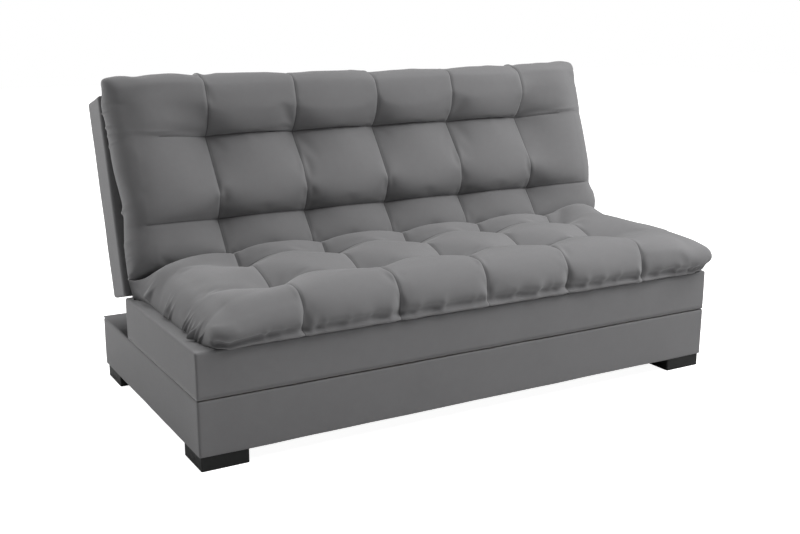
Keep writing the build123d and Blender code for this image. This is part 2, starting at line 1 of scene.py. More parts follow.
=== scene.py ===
import json
from collections.abc import Callable
from dataclasses import dataclass
from math import cos, pi, radians, sin

import bmesh
import bpy
import numpy as np
from mathutils import Matrix, Vector, noise


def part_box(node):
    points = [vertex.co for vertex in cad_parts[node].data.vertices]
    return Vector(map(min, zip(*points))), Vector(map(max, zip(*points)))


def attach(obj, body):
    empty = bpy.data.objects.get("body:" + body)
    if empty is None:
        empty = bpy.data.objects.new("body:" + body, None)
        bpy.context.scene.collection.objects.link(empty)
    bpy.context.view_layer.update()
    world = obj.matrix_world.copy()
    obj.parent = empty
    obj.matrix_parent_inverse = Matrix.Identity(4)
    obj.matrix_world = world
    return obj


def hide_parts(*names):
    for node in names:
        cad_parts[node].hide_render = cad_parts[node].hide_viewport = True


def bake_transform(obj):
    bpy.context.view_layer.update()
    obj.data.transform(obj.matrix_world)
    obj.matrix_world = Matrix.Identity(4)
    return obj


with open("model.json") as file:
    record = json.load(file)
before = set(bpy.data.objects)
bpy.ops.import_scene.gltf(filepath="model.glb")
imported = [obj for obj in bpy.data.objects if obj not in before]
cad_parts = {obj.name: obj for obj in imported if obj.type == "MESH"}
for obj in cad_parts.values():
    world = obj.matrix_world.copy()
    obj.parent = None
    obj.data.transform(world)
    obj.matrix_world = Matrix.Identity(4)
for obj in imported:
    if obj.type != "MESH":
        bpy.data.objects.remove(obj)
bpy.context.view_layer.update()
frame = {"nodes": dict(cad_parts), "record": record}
scene = bpy.context.scene

# Sizes of the frame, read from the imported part
JOINTS = {joint["name"]: joint for joint in frame["record"]["behaviour"]["joints"]}
PIVOT = Vector(JOINTS["back_recline"]["pos_m"])
TILT = pi / 2 - radians(JOINTS["back_recline"]["range_deg"][1])
UP_SLOPE = Vector((0, sin(TILT), cos(TILT)))
OUT_OF_BACK = Vector((0, -cos(TILT), sin(TILT)))

SEAT_LOW, SEAT_HIGH = (Vector(corner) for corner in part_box("seat_cover"))
BASE_LOW, BASE_HIGH = (Vector(corner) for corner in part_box("base_cover"))
LEDGE_LOW, LEDGE_HIGH = (Vector(corner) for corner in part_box("ledge_cover"))
BOARD_INNER = Vector(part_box("base_front_board")[1]).y
BACK_BOARD_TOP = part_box("base_back_board")[1][2]
ARM_LOW, ARM_HIGH = (Vector(corner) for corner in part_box("right_seat_arm"))
HALF_WIDTH = BASE_HIGH.x
BACK_CLEAR = 0.001
BACK_THICK = PIVOT.z - LEDGE_HIGH.z - BACK_CLEAR
BACK_HEEL = 0.0025
BACK_TOP = 0.622

# Stretched covers, in metres: rounded edges, the band beside an edge, the flange under a pad and the slices
SKIN = 0.0036
EDGE_ROUND = 0.0065
BACK_ROUND = 0.01
BOTTOM_ROUND = 0.003
LEDGE_ROUND = 0.0026
FOOT_ROUND = 0.0016
SHARP = radians(60)
EDGE_BAND = 0.0125
FLANGE = 0.06
SLICE = 0.06
RIPPLE = 0.0012
RIPPLE_SCALE = 9.0
TOUCH = 0.001
FLUSH = 0.0001

# Tufting, in metres: columns along the width. The mattress lies a little to the right of the middle
COLUMN = HALF_WIDTH / 3
SEAMS = [COLUMN * i for i in range(-2, 3)]
PAD_SHIFT = 0.009

# Stitched seams in the suede: how a row's line fades at its end, its width, its shade and its depth
STITCH_FADE = 0.03
STITCH_LIFT = 0.005
STITCH_CORE = 0.0005
STITCH_WIDTH = 0.0024
STITCH_SHADE = 0.45
STITCH_DEPTH = 1.5


def socket(group, name, kind, flow, value=None):
    """A named socket on a node group."""
    made = group.interface.new_socket(name=name, in_out=flow, socket_type=kind)
    if value is not None:
        made.default_value = value


def wire(tree, source, target):
    """Links an output socket to an input socket."""
    tree.links.new(source, target)


def math_node(tree, operation, a, b=None):
    """A math node fed by sockets or plain numbers; returns its output."""
    node = tree.nodes.new("ShaderNodeMath")
    node.operation = operation
    for i, value in enumerate((a, b)):
        if value is None:
            continue
        if isinstance(value, (int, float)):
            node.inputs[i].default_value = value
        else:
            wire(tree, value, node.inputs[i])
    return node.outputs[0]


def ramp(tree, value, low, high, out_low, out_high):
    """A smooth map of a value from one range to another."""
    node = tree.nodes.new("ShaderNodeMapRange")
    node.interpolation_type = "SMOOTHSTEP"
    wire(tree, value, node.inputs["Value"])
    node.inputs["From Min"].default_value = low
    node.inputs["From Max"].default_value = high
    node.inputs["To Min"].default_value = out_low
    node.inputs["To Max"].default_value = out_high
    return node.outputs["Result"]


def noise_node(tree, coords, scale, detail, rough=0.55):
    """A noise texture on those coordinates; returns its value."""
    node = tree.nodes.new("ShaderNodeTexNoise")
    wire(tree, coords, node.inputs["Vector"])
    node.inputs["Scale"].default_value = scale
    node.inputs["Detail"].default_value = detail
    node.inputs["Roughness"].default_value = rough
    return node.outputs["Fac"]


def stretched(tree, coords, scale):
    """Coordinates scaled along each axis."""
    node = tree.nodes.new("ShaderNodeMapping")
    wire(tree, coords, node.inputs["Vector"])
    node.inputs["Scale"].default_value = scale
    return node.outputs["Vector"]


def object_place(tree):
    """Coordinates in the piece's own axes."""
    return tree.nodes.new("ShaderNodeTexCoord").outputs["Object"]


def plain_colour(tree, colour):
    """A single colour as a socket."""
    node = tree.nodes.new("ShaderNodeRGB")
    node.outputs[0].default_value = (*colour, 1)
    return node.outputs[0]


def tinted(tree, colour, factor):
    """A colour multiplied by a value; returns the colour socket."""
    node = tree.nodes.new("ShaderNodeVectorMath")
    node.operation = "SCALE"
    wire(tree, colour, node.inputs[0])
    wire(tree, factor, node.inputs["Scale"])
    return node.outputs["Vector"]


def nap_group():
    """Suede nap: mottled tone, brushed fibre marks and their height."""
    group = bpy.data.node_groups.new("suede_nap", "ShaderNodeTree")
    socket(group, "Colour", "NodeSocketColor", "INPUT", (0.2, 0.2, 0.2, 1))
    socket(group, "Mottle", "NodeSocketFloat", "INPUT", 0.1)
    socket(group, "Fibre", "NodeSocketFloat", "INPUT", 0.12)
    socket(group, "Colour", "NodeSocketColor", "OUTPUT")
    socket(group, "Height", "NodeSocketFloat", "OUTPUT")
    socket(group, "Roughness", "NodeSocketFloat", "OUTPUT")
    start = group.nodes.new("NodeGroupInput")
    end = group.nodes.new("NodeGroupOutput")
    place = object_place(group)
    broad = noise_node(group, place, scale=7.0, detail=4.0)
    patch = noise_node(group, place, scale=42.0, detail=3.0)
    fibre = noise_node(group, stretched(group, place, (1500, 900, 520)), scale=1.0, detail=2.0)
    cross = noise_node(group, stretched(group, place, (420, 1300, 1300)), scale=1.0, detail=2.0)
    fibres = math_node(group, "MULTIPLY", math_node(group, "ADD", fibre, cross), 0.5)
    broad_share = math_node(group, "MULTIPLY", broad, 0.7)
    patch_share = math_node(group, "MULTIPLY", patch, 0.3)
    tone = math_node(group, "ADD", broad_share, patch_share)
    tone = math_node(group, "MULTIPLY", math_node(group, "SUBTRACT", tone, 0.5), start.outputs["Mottle"])
    grain = math_node(group, "MULTIPLY", math_node(group, "SUBTRACT", fibres, 0.5), start.outputs["Fibre"])
    factor = math_node(group, "ADD", math_node(group, "ADD", tone, grain), 1.0)
    wire(group, tinted(group, start.outputs["Colour"], factor), end.inputs["Colour"])
    height = math_node(group, "ADD", math_node(group, "MULTIPLY", patch, 0.25), fibres)
    wire(group, height, end.inputs["Height"])
    wire(group, ramp(group, broad, 0.3, 0.7, 0.82, 0.94), end.inputs["Roughness"])
    return group


NAP = nap_group()


def blank_material(name):
    """A material with its Principled shader, ready to be wired."""
    material = bpy.data.materials.new(name)
    material.use_nodes = True
    return material, material.node_tree, material.node_tree.nodes["Principled BSDF"]


def bump(tree, shader, height, distance, strength):
    """Wires a height into the shader's normal."""
    node = tree.nodes.new("ShaderNodeBump")
    node.inputs["Strength"].default_value = strength
    node.inputs["Distance"].default_value = distance
    wire(tree, height, node.inputs["Height"])
    wire(tree, node.outputs["Normal"], shader.inputs["Normal"])


def suede(name, colour, sewn_rows=(), row_ends=()):
    """Grey suede-like upholstery. Sewn pads also get the dark line of their column and row seams."""
    material, tree, shader = blank_material(name)
    nap = tree.nodes.new("ShaderNodeGroup")
    nap.node_tree = NAP
    nap.inputs["Colour"].default_value = (*colour, 1)
    nap.inputs["Mottle"].default_value = 0.26
    nap.inputs["Fibre"].default_value = 0.2
    colour_out = nap.outputs["Colour"]
    height_out = nap.outputs["Height"]
    if sewn_rows:
        sheet = tree.nodes.new("ShaderNodeAttribute")
        sheet.attribute_name = "sheet"
        split = tree.nodes.new("ShaderNodeSeparateXYZ")
        wire(tree, sheet.outputs["Vector"], split.inputs[0])
        counted = math_node(tree, "ADD", split.outputs["X"], 4 * COLUMN)
        across = math_node(tree, "PINGPONG", counted, COLUMN / 2)
        aside = math_node(tree, "ABSOLUTE", split.outputs["X"])
        ends = math_node(tree, "GREATER_THAN", aside, 2.5 * COLUMN)
        near = math_node(tree, "ADD", across, ends)
        for row, row_end in zip(sewn_rows, row_ends):
            past = ramp(tree, aside, row_end - STITCH_FADE, row_end, 0.0, STITCH_LIFT)
            along = math_node(tree, "ABSOLUTE", math_node(tree, "SUBTRACT", split.outputs["Y"], row))
            near = math_node(tree, "MINIMUM", near, math_node(tree, "ADD", along, past))
        line = ramp(tree, near, STITCH_CORE, STITCH_WIDTH, 1.0, 0.0)
        shade = math_node(tree, "MULTIPLY", line, STITCH_SHADE)
        colour_out = tinted(tree, colour_out, math_node(tree, "SUBTRACT", 1.0, shade))
        height_out = math_node(tree, "SUBTRACT", height_out, math_node(tree, "MULTIPLY", line, STITCH_DEPTH))
    wire(tree, colour_out, shader.inputs["Base Color"])
    wire(tree, nap.outputs["Roughness"], shader.inputs["Roughness"])
    shader.inputs["Sheen Weight"].default_value = 0.18
    shader.inputs["Sheen Roughness"].default_value = 0.45
    shader.inputs["Specular IOR Level"].default_value = 0.22
    bump(tree, shader, height_out, distance=0.0006, strength=0.45)
    return material


def timber(name, light, dark, rings):
    """Sawn softwood or board with long grain along X."""
    material, tree, shader = blank_material(name)
    place = object_place(tree)
    grain = noise_node(tree, stretched(tree, place, (3.0, rings, rings)), scale=1.0, detail=6.0, rough=0.6)
    pores = noise_node(tree, stretched(tree, place, (40, 900, 900)), scale=1.0, detail=2.0)
    blend = tree.nodes.new("ShaderNodeMix")
    blend.data_type = "RGBA"
    wire(tree, ramp(tree, grain, 0.35, 0.68, 0.0, 1.0), blend.inputs["Factor"])
    blend.inputs["A"].default_value = (*light, 1)
    blend.inputs["B"].default_value = (*dark, 1)
    shade = math_node(tree, "ADD", math_node(tree, "MULTIPLY", pores, 0.3), 0.85)
    wire(tree, tinted(tree, blend.outputs["Result"], shade), shader.inputs["Base Color"])
    wire(tree, ramp(tree, grain, 0.3, 0.7, 0.55, 0.78), shader.inputs["Roughness"])
    bump(tree, shader, math_node(tree, "ADD", grain, pores), distance=0.0004, strength=0.4)
    return material


def moulded(name, colour):
    """Near-black moulded plastic with a fine grain and scuffed sheen."""
    material, tree, shader = blank_material(name)
    place = object_place(tree)
    grain = noise_node(tree, place, scale=1400.0, detail=2.0)
    scuff = noise_node(tree, place, scale=60.0, detail=5.0, rough=0.7)
    worn = ramp(tree, scuff, 0.35, 0.75, 0.8, 1.5)
    wire(tree, tinted(tree, plain_colour(tree, colour), worn), shader.inputs["Base Color"])
    wire(tree, ramp(tree, scuff, 0.3, 0.7, 0.42, 0.62), shader.inputs["Roughness"])
    shader.inputs["Specular IOR Level"].default_value = 0.3
    bump(tree, shader, grain, distance=0.0002, strength=0.35)
    return material


def webbing(name, colour):
    """Woven elastic webbing."""
    material, tree, shader = blank_material(name)
    place = object_place(tree)
    weave = noise_node(tree, stretched(tree, place, (900, 300, 300)), scale=1.0, detail=2.0)
    threads = ramp(tree, weave, 0.3, 0.7, 0.7, 1.6)
    wire(tree, tinted(tree, plain_colour(tree, colour), threads), shader.inputs["Base Color"])
    shader.inputs["Roughness"].default_value = 0.85
    bump(tree, shader, weave, distance=0.0005, strength=0.6)
    return material


def plated(name, colour):
    """Zinc-plated pressed steel."""
    material, tree, shader = blank_material(name)
    place = object_place(tree)
    spangle = noise_node(tree, place, scale=220.0, detail=4.0, rough=0.6)
    flecks = ramp(tree, spangle, 0.3, 0.7, 0.85, 1.1)
    wire(tree, tinted(tree, plain_colour(tree, colour), flecks), shader.inputs["Base Color"])
    wire(tree, ramp(tree, spangle, 0.3, 0.7, 0.28, 0.46), shader.inputs["Roughness"])
    shader.inputs["Metallic"].default_value = 1.0
    return material


GREY = (0.158, 0.157, 0.16)
BOX_SUEDE = suede("box_suede", GREY)
FRAME_WOOD = timber("frame_wood", (0.62, 0.43, 0.25), (0.42, 0.26, 0.13), rings=26.0)
# Panel board: its near-black colour is partly painted shade. The board is darkened so the gap between base and
# seat box reads as shadow
SHADE_DARKENED_PANEL_WOOD = timber("panel_wood", (0.075, 0.068, 0.06), (0.05, 0.045, 0.04), rings=60.0)
FOOT_BLACK = moulded("foot_black", (0.008, 0.0086, 0.0084))
WEBBING = webbing("elastic_webbing", (0.035, 0.032, 0.03))
PLATED = plated("plated_steel", (0.55, 0.55, 0.56))
NODE_FINISH = {
    "foot_black": FOOT_BLACK,
    "frame_wood": FRAME_WOOD,
    "panel_wood": SHADE_DARKENED_PANEL_WOOD,
    "webbing": WEBBING,
    "hinge_steel": PLATED,
    "upholstery": BOX_SUEDE,
}

for part in frame["record"]["subparts"]:
    node = frame["nodes"][part["node"]]
    node.data.materials.clear()
    node.data.materials.append(NODE_FINISH[part["material_slot"]])


def rounded(node, width):
    """Softens a CAD node's edges, on top of its own mesh."""
    weld = node.modifiers.new("weld", "WELD")
    weld.merge_threshold = 0.00002
    edge = node.modifiers.new("edge", "BEVEL")
    edge.width = width
    edge.segments = 3
    edge.limit_method = "ANGLE"
    edge.angle_limit = radians(40)


for corner in ("front_left", "front_right", "rear_left", "rear_right"):
    rounded(frame["nodes"][f"{corner}_foot"], FOOT_ROUND)


def piece_from(bm, name, material, body, nodes):
    """Turns a bmesh into a smooth-shaded piece that rides on a body and stands for CAD nodes."""
    mesh = bpy.data.meshes.new(name)
    bmesh.ops.recalc_face_normals(bm, faces=bm.faces)
    bm.to_mesh(mesh)
    bm.free()
    piece = bpy.data.objects.new(name, mesh)
    scene.collection.objects.link(piece)
    mesh.materials.append(material)
    mesh.shade_smooth()
    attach(piece, body)
    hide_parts(*nodes)
    return piece


def box_between(low, high):
    """A bmesh box between two opposite corners."""
    low, high = Vector(low), Vector(high)
    bm = bmesh.new()
    bmesh.ops.create_cube(bm, size=1.0)
    bmesh.ops.scale(bm, vec=high - low, verts=bm.verts)
    bmesh.ops.translate(bm, vec=(low + high) / 2, verts=bm.verts)
    return bm


def slice_at(bm, axis, places):
    """Cuts the mesh across one axis at each of these places."""
    normal = Vector((0, 0, 0))
    normal[axis] = 1
    for place in places:
        whole = bm.verts[:] + bm.edges[:] + bm.faces[:]
        bmesh.ops.bisect_plane(bm, geom=whole, plane_co=normal * place, plane_no=normal)


def banded(low, high, first, last):
    """Places for slices: a band inside each end and even steps in between."""
    return [low + EDGE_BAND, *np.arange(first, last, SLICE), high - EDGE_BAND]


def drop_faces(bm, inside):
    """Removes the faces whose middle passes the test."""
    gone = [face for face in bm.faces if inside(face.calc_center_median())]
    bmesh.ops.delete(bm, geom=gone, context="FACES")


def bevel_edges(bm, edges, radius, segments):
    """Rounds these edges."""
    bmesh.ops.bevel(
        bm,
        geom=edges,
        offset=radius,
        offset_type="OFFSET",
        segments=segments,
        profile=0.5,
        affect="EDGES",
        material=-1,
    )


def round_edges(bm, radius, wanted=lambda middle: True):
    """Rounds the box's sharp outer edges, or those whose middle passes the test."""
    sharp = [
        edge
        for edge in bm.edges
        if len(edge.link_faces) == 2
        and edge.calc_face_angle() > SHARP
        and wanted((edge.verts[0].co + edge.verts[1].co) / 2)
    ]
    bevel_edges(bm, sharp, radius, segments=5)


def ripple(bm, seed):
    """Lets stretched fabric wander a little off its flat board."""
    bm.normal_update()
    offset = Vector((seed, 2 * seed, 3 * seed))
    moves = [vert.normal * RIPPLE * noise.noise(vert.co * RIPPLE_SCALE + offset) for vert in bm.verts]
    for vert, move in zip(bm.verts, moves):
        vert.co += move


def wrapped(piece):
    """Gives a stretched cover its thickness, inwards from the face that shows."""
    wall = piece.modifiers.new("wall", "SOLIDIFY")
    wall.thickness = SKIN
    wall.offset = -1


WIDTH_SLICES = banded(-HALF_WIDTH, HALF_WIDTH, -0.81, 0.82)

# Base: stretched over the boards, turned over their top edges and under the bottom
WALL = BOARD_INNER - BASE_LOW.y
MOUTH_X = HALF_WIDTH - WALL
TURN_DOWN = 0.03
bm = box_between(BASE_LOW, BASE_HIGH)
slice_at(bm, 0, [-MOUTH_X, MOUTH_X])
slice_at(bm, 1, [BASE_LOW.y + WALL, BASE_HIGH.y - WALL])
slice_at(bm, 2, [BACK_BOARD_TOP])


def base_opening(middle):
    """The trunk's mouth, the lowered rear edge and the open underside."""
    within = abs(middle.x) < MOUTH_X
    mouth = middle.z > BACK_BOARD_TOP and middle.y > BASE_LOW.y + WALL
    under = middle.z < BASE_LOW.z + TOUCH and BASE_LOW.y + WALL < middle.y < BASE_HIGH.y - WALL
    return within and (mouth or under)


drop_faces(bm, base_opening)
round_edges(bm, EDGE_ROUND, lambda middle: middle.z > BASE_LOW.z + TOUCH)
round_edges(bm, BOTTOM_ROUND)
mouth_rim = [
    edge
    for edge in bm.edges
    if edge.is_boundary and all(vert.co.z > BASE_HIGH.z - FLUSH for vert in edge.verts)
]
turned = bmesh.ops.extrude_edge_only(bm, edges=mouth_rim)["geom"]
turned_verts = [item for item in turned if isinstance(item, bmesh.types.BMVert)]
bmesh.ops.translate(bm, vec=(0, 0, -TURN_DOWN), verts=turned_verts)
slice_at(bm, 0, WIDTH_SLICES)
slice_at(bm, 1, banded(BASE_LOW.y, BASE_HIGH.y, BASE_LOW.y + 0.06, BASE_HIGH.y - 0.03))
slice_at(bm, 2, [BASE_LOW.z + EDGE_BAND, 0.08, 0.12, 0.16, BASE_HIGH.z - EDGE_BAND])
ripple(bm, seed=1.7)
wrapped(piece_from(bm, "base_upholstery", BOX_SUEDE, "base", ["base_cover"]))

# Seat box: the same stretched cover, open below and under the pad, with slots for the hinge arms
HOUSING_GAP = 0.0135
ARM_GAP = 0.0055
ARM_REST = 0.0005
SKIN_LIFT = 0.002
SLOT_IN = ARM_LOW.x - HOUSING_GAP
SLOT_OUT = ARM_HIGH.x + ARM_GAP
SLOT_LOW = ARM_LOW.z - ARM_REST
SEAT_SKIN_TOP = SEAT_HIGH.z + SKIN_LIFT
bm = box_between(SEAT_LOW, (SEAT_HIGH.x, SEAT_HIGH.y, SEAT_SKIN_TOP))
slice_at(bm, 0, [-SLOT_OUT, -SLOT_IN, SLOT_IN, SLOT_OUT])
slice_at(bm, 0, [FLANGE - HALF_WIDTH, HALF_WIDTH - FLANGE])
slice_at(bm, 1, [SEAT_LOW.y + FLANGE, SEAT_HIGH.y - FLANGE])
slice_at(bm, 2, [SLOT_LOW])


def seat_opening(middle):
    """The open underside, the web of straps under the pad and the slots for the arms."""
    under = middle.z < SEAT_LOW.z + TOUCH
    inside = abs(middle.x) < HALF_WIDTH - FLANGE and SEAT_LOW.y + FLANGE < middle.y < SEAT_HIGH.y - FLANGE
    slot = SLOT_IN < abs(middle.x) < SLOT_OUT and middle.y > SEAT_HIGH.y - FLANGE and middle.z > SLOT_LOW
    return under or (inside and middle.z > SEAT_SKIN_TOP - TOUCH) or slot


drop_faces(bm, seat_opening)
round_edges(bm, EDGE_ROUND)
slice_at(bm, 0, WIDTH_SLICES)
slice_at(bm, 1, banded(SEAT_LOW.y, SEAT_HIGH.y, SEAT_LOW.y + 0.1, SEAT_HIGH.y - 0.07))
slice_at(bm, 2, [SEAT_LOW.z + EDGE_BAND, 0.235, 0.265, 0.295, SEAT_HIGH.z - EDGE_BAND])
ripple(bm, seed=4.1)
wrapped(piece_from(bm, "seat_box_upholstery", BOX_SUEDE, "seat", ["seat_cover"]))

# Back board: a closed cover whose front is hidden by the pad, drawn upright and then leaned back
BACK_AXES = Matrix(((1, 0, 0), UP_SLOPE, OUT_OF_BACK)).transposed().to_4x4()
BACK_AXES.translation = PIVOT
SLOT_DEEP = 0.06
bm = box_between((-HALF_WIDTH, -BACK_HEEL, -BACK_THICK), (HALF_WIDTH, BACK_TOP, 0))
slice_at(bm, 0, [-SLOT_OUT, -SLOT_IN, SLOT_IN, SLOT_OUT])
slice_at(bm, 0, [FLANGE - HALF_WIDTH, HALF_WIDTH - FLANGE])
slice_at(bm, 1, [FLANGE - BACK_HEEL, BACK_TOP - FLANGE])
slice_at(bm, 2, [-SLOT_DEEP])


def back_opening(middle):
    """The web of straps behind the pad and the slots for the arms."""
    within = abs(middle.x) < HALF_WIDTH - FLANGE and FLANGE - BACK_HEEL < middle.y < BACK_TOP - FLANGE
    slot = SLOT_IN < abs(middle.x) < SLOT_OUT and middle.y < FLANGE - BACK_HEEL and middle.z > -SLOT_DEEP
    return (within and middle.z > -TOUCH) or slot


drop_faces(bm, back_opening)
round_edges(bm, BACK_ROUND)
slice_at(bm, 0, WIDTH_SLICES)
slice_at(bm, 1, banded(-BACK_HEEL, BACK_TOP, 0.1, BACK_TOP - 0.07))
slice_at(bm, 2, [EDGE_BAND - BACK_THICK, -0.1, -0.03, -EDGE_BAND])
ripple(bm, seed=7.3)
bmesh.ops.transform(bm, matrix=BACK_AXES, verts=bm.verts)
wrapped(piece_from(bm, "back_board_upholstery", BOX_SUEDE, "back", ["back_cover"]))

# Ledge: fabric over the deck behind the seat, out over the base's rim and turned down at the rear
LEDGE_INSET = 0.0008
STRIP_DEPTH = 0.004
RIM_GAP = 0.0012
FACES_DOWN = -0.9
LEDGE_X = HALF_WIDTH - LEDGE_INSET
LEDGE_STRIP = LEDGE_HIGH.y - STRIP_DEPTH
LEDGE_FLAT = BASE_HIGH.z + RIM_GAP
bm = box_between((-LEDGE_X, LEDGE_LOW.y, LEDGE_FLAT), (LEDGE_X, LEDGE_HIGH.y, LEDGE_HIGH.z))
slice_at(bm, 0, [-LEDGE_HIGH.x, LEDGE_HIGH.x])
slice_at(bm, 1, [LEDGE_STRIP])


def ledge_turned(middle):
    """The strip along the rear that hangs down inside the base's rim."""
    return middle.y > LEDGE_STRIP and abs(middle.x) < LEDGE_HIGH.x


strip = [face for face in bm.faces if face.normal.z < FACES_DOWN and ledge_turned(face.calc_center_median())]
hung = bmesh.ops.extrude_face_region(bm, geom=strip)["geom"]
bmesh.ops.delete(bm, geom=strip, context="FACES_ONLY")
hung_verts = [item for item in hung if isinstance(item, bmesh.types.BMVert)]
bmesh.ops.translate(bm, vec=(0, 0, LEDGE_LOW.z - LEDGE_FLAT), verts=hung_verts)
outer = [
    edge
    for edge in bm.edges
    if all(vert.co.z > LEDGE_HIGH.z - FLUSH for vert in edge.verts)
    and edge.calc_face_angle(0) > SHARP
    and (edge.verts[0].co.y + edge.verts[1].co.y) / 2 > LEDGE_LOW.y + TOUCH
]
bevel_edges(bm, outer, LEDGE_ROUND, segments=4)
piece_from(bm, "ledge_upholstery", BOX_SUEDE, "seat", ["ledge_cover"])


# Points of the pads' smooth outlines
CURVE_STEPS = 40
SECTION_POINTS = 400
ROLL_POINTS = 200


def flowing(points, count):
    """Smooth run of points through a few given ones, evenly spaced along its length, and that length."""
    points = np.array(points)
    extended = np.vstack([2 * points[0] - points[1], points, 2 * points[-1] - points[-2]])
    steps = np.linspace(0, 1, CURVE_STEPS, endpoint=False)[:, None]
    run = []
    for a, b, c, d in zip(extended, extended[1:], extended[2:], extended[3:]):
        curve = 2 * b + (c - a) * steps
        curve = curve + (2 * a - 5 * b + 4 * c - d) * steps**2
        curve = curve + (3 * b - a - 3 * c + d) * steps**3
        run.append(curve / 2)
    run = np.vstack([*run, points[-1:]])
    length = np.concatenate([[0], np.cumsum(np.linalg.norm(np.diff(run, axis=0), axis=1))])
    wanted = np.linspace(0, length[-1], count)
    return np.stack([np.interp(wanted, length, run[:, i]) for i in range(run.shape[1])], axis=1), length[-1]


def spaced(stops, counts, cluster=0.45):
    """Places between stops, closer together near each stop."""
    places = [stops[0]]
    for low, high, count in zip(stops, stops[1:], counts):
        u = np.arange(1, count + 1) / count
        eased = (1 - cluster) * u + cluster * (1 - np.cos(pi * u)) / 2
        places.extend(low + (high - low) * eased)
    return np.array(places)


@dataclass
class Tufted:
    """A tufted pad: its section, the roll at its free edge and its ends, and how it is sewn and gathered.

    Lengths are in metres. t runs away from the hinge line and h out of the board.
    On the cloth, p runs along the width and q away from the crease.
    """

    name: str
    crease: list  # (t, h) up the face that meets the other pad
    top: list  # (t, h) over the crowns, to where the free edge begins to roll
    edge: list  # (outwards, h) down the rolled free edge
    roll_x: float  # p where the ends begin to roll
    left: list  # (outwards, share of the height) down the left end
    right: list  # the same for the right end
    rows: tuple  # t of the two rows of tufts
    place: Callable  # turns x, t and h into a point
    on_board: Vector  # a point on the board under the pad
    out_of_board: Vector
    depths: tuple  # how far rows, columns and tufts are drawn down
    corners: tuple  # how square the left and right corners are
    lumps: list  # (p, its reach, t, its reach, rise) of soft rises and hollows
    waists: list  # (side, t, its reach, outwards) of bulges and waists in the ends
    dip: float  # how far the free edge drops at the left corner
    pinch: tuple  # (t, h) of the tip where both pads are sewn together
    end_drops: tuple  # how far the left and right ends drop
    lean: float  # below 1 moves the crowns towards the crease
    sag: float  # how far the cells hang down between their rows
    row_hold: float  # how firmly the rows are held while the pad is filled
    slack: float  # how much the cloth grows while it is filled
    hem: float  # how far the hem is drawn in
    tabs: tuple  # rise or fall of the hem at each column seam
    calm: tuple  # rounds of smoothing in end cells and in corners, and how far the corners reach
    row_ends: tuple  # p where the stitching of each row ends
    row_fades: tuple  # how far each row fades towards the ends
    gathers: list  # (q, its spread, count) of groups of folds at the ends
    pucker: float  # height of those folds
    seed: int

    def __post_init__(self):
        self.row_depth, self.column_depth, self.tuft_depth = self.depths
        self.section, self.section_length = flowing(self.crease + self.top, SECTION_POINTS)
        self.rise = self.edge[0][1]
        self.edge_run, self.edge_length = flowing(self.edge, ROLL_POINTS)
        self.left_run, left_length = self.end_roll(self.left)
        self.right_run, right_length = self.end_roll(self.right)
        self.side_length = (left_length + right_length) / 2
        self.length = self.section_length + self.edge_length
        self.half_width = self.roll_x + self.side_length
        along = np.linspace(0, self.section_length, len(self.section))
        self.row_marks = [float(np.interp(row, self.section[:, 0], along)) for row in self.rows]
        self.crease_mark = float(np.interp(self.top[0][0], self.section[:, 0], along))

    def end_roll(self, end):
        """Smooth run down one end and its length."""
        return flowing([(out, share * self.rise) for out, share in end], ROLL_POINTS)


# Where the ends begin to drop, and the tip where both pads are sewn together
END_START = 0.5
PINCH_X = 0.905
PINCH_REACH = 0.045
PINCH_RISE = 0.062


def seat_point(x, t, h):
    """Seat pad point: t forward from the hinge line, h above the seat box."""
    return np.stack([x + PAD_SHIFT, PIVOT.y - t, SEAT_HIGH.z + h], axis=-1)


def back_point(x, t, h):
    """Back pad point: t up the slope from the hinge line, h out of the back board."""
    y = PIVOT.y + t * UP_SLOPE.y + h * OUT_OF_BACK.y
    z = PIVOT.z + t * UP_SLOPE.z + h * OUT_OF_BACK.z
    return np.stack([x + PAD_SHIFT, y, z], axis=-1)


SEAT = Tufted(
    "seat_mattress",
    crease=[(0.022, 0.003), (0.05, 0.062), (0.078, 0.104), (0.1, 0.133)],
    top=[
        (0.12, 0.149), (0.142, 0.157), (0.17, 0.153), (0.21, 0.142),
        (0.31, 0.136), (0.42, 0.131), (0.56, 0.117),
    ],
    edge=[
        (0.0, 0.117), (0.044, 0.108), (0.08, 0.094), (0.104, 0.077), (0.115, 0.06), (0.117, 0.045),
        (0.113, 0.034), (0.105, 0.026), (0.099, 0.019), (0.098, 0.012), (0.1, 0.006), (0.098, 0.002),
        (0.076, 0.002),
    ],
    roll_x=0.79,
    left=[
        (0.0, 1.0), (0.024, 0.93), (0.046, 0.79), (0.061, 0.6),
        (0.07, 0.41), (0.076, 0.24), (0.079, 0.1), (0.079, 0.03),
    ],
    right=[
        (0.0, 1.0), (0.07, 0.975), (0.106, 0.865), (0.119, 0.68),
        (0.119, 0.49), (0.108, 0.33), (0.091, 0.18), (0.074, 0.03),
    ],
    rows=(0.196, 0.431),
    place=seat_point,
    on_board=SEAT_HIGH,
    out_of_board=Vector((0, 0, 1)),
    depths=(0.017, 0.011, 0.03),
    corners=(0.25, 0.8),
    lumps=[(0.74, 0.075, 0.15, 0.05, 0.014), (0.875, 0.065, 0.13, 0.2, -0.036)],
    waists=[],
    dip=0.0,
    pinch=(PINCH_REACH, PINCH_RISE + PIVOT.z - SEAT_HIGH.z),
    end_drops=(0.03, 0.006),
    lean=1.0,
    sag=0.0,
    row_hold=0.02,
    slack=0.015,
    hem=0.01,
    tabs=(-0.007, -0.007, -0.007, -0.007, -0.007),
    calm=(3, 14, 0.09),
    row_ends=(0.66, 0.66),
    row_fades=(0.85, 0.85),
    gathers=[(0.2, 0.012, 4), (0.36, 0.03, 7), (0.6, 0.045, 11)],
    pucker=0.0095,
    seed=3,
)
